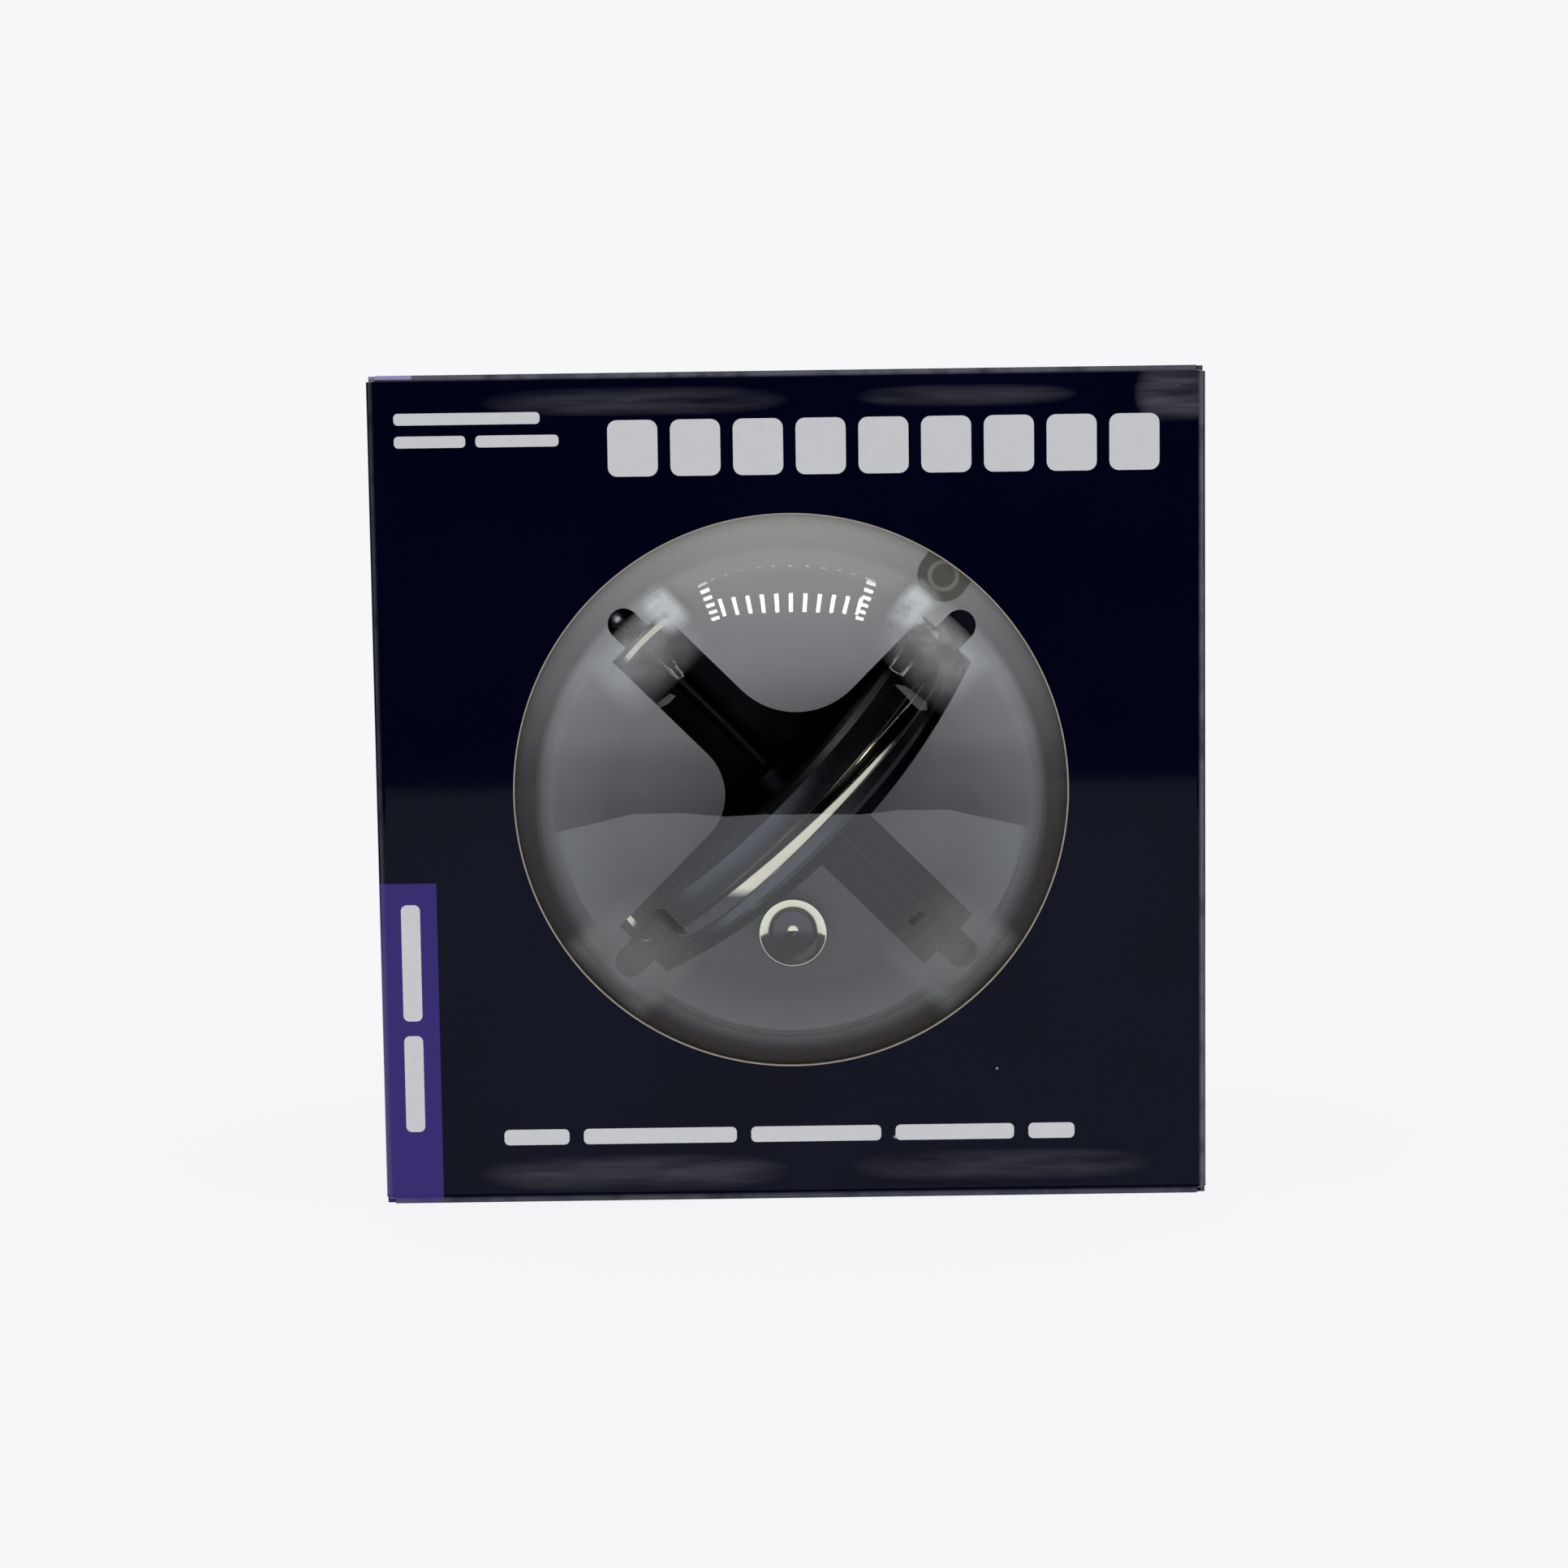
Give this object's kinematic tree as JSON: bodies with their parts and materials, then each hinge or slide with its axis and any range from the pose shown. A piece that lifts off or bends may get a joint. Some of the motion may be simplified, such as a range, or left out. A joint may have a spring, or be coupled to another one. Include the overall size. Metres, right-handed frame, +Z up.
{
  "type": "boxed gyroscope set",
  "caption": "Square window carton with a clear dome that shows a two-ring toy gyroscope set in a cross-cut card, with its pedestal stand stored behind.",
  "frame": {"origin": "middle of the carton's base, on the surface it stands on", "axes": "+Z up, the window faces -Y, +X to the viewer's right as they face the window"},
  "size_m": [0.1, 0.0809, 0.1],
  "materials": {
    "black_print": "black film-laminated print on paperboard, satin gloss",
    "grey_board_back": "uncoated grey-brown back of the paperboard",
    "clear_dome": "clear thermoformed sheet, glossy",
    "grey_card": "grey printed card",
    "black_tray": "black thermoformed sheet",
    "ring_steel": "polished bright steel",
    "small_steel": "turned steel",
    "flywheel_metal": "dark gunmetal, satin",
    "stand_plastic": "black moulded plastic",
    "cup_metal": "polished turned metal"
  },
  "bodies": {
    "carton": {"front_panel": "black_print", "back_panel": "black_print", "left_side_panel": "black_print", "right_side_panel": "black_print", "glue_flap": "grey_board_back", "bottom_panel": "black_print", "bottom_flap_left": "grey_board_back", "bottom_flap_right": "grey_board_back", "dust_flap_left": "black_print", "dust_flap_right": "black_print", "window_dome": "clear_dome", "insert_card": "grey_card", "cradle_tray": "black_tray", "guard_ring": "ring_steel", "axle_ring": "ring_steel", "ring_rivets": "small_steel", "pivot_screw_upper": "small_steel", "pivot_screw_lower": "small_steel", "pivot_lock_nuts": "small_steel", "ball_foot": "small_steel", "slotted_tip": "small_steel", "stand_base": "stand_plastic", "stand_column": "stand_plastic", "stand_cup": "cup_metal"},
    "flywheel": {"flywheel_rim": "flywheel_metal", "flywheel_web": "flywheel_metal", "flywheel_hub": "flywheel_metal", "axle": "small_steel"},
    "lid": {"lid_panel": "black_print"},
    "tuck_flap": {"lid_tuck_flap": "black_print"}
  },
  "joints": [
    {"name": "flywheel_spin", "type": "hinge", "parent": "carton", "child": "flywheel", "pos_m": [0, -0.0174, 0.0491], "axis": [-0.7032, -0.1045, 0.7032], "continuous": true},
    {"name": "lid_hinge", "type": "hinge", "parent": "carton", "child": "lid", "pos_m": [0, 0.033, 0.1], "axis": [-1, 0, 0], "range_deg": [0, 110]},
    {"name": "tuck_fold", "type": "hinge", "parent": "lid", "child": "tuck_flap", "pos_m": [0, -0.0312, 0.0994], "axis": [-1, 0, 0], "range_deg": [-66, 0]}
  ],
  "couplings": [
    {"joint": "tuck_fold", "follows": "lid_hinge", "ratio": -0.6}
  ]
}
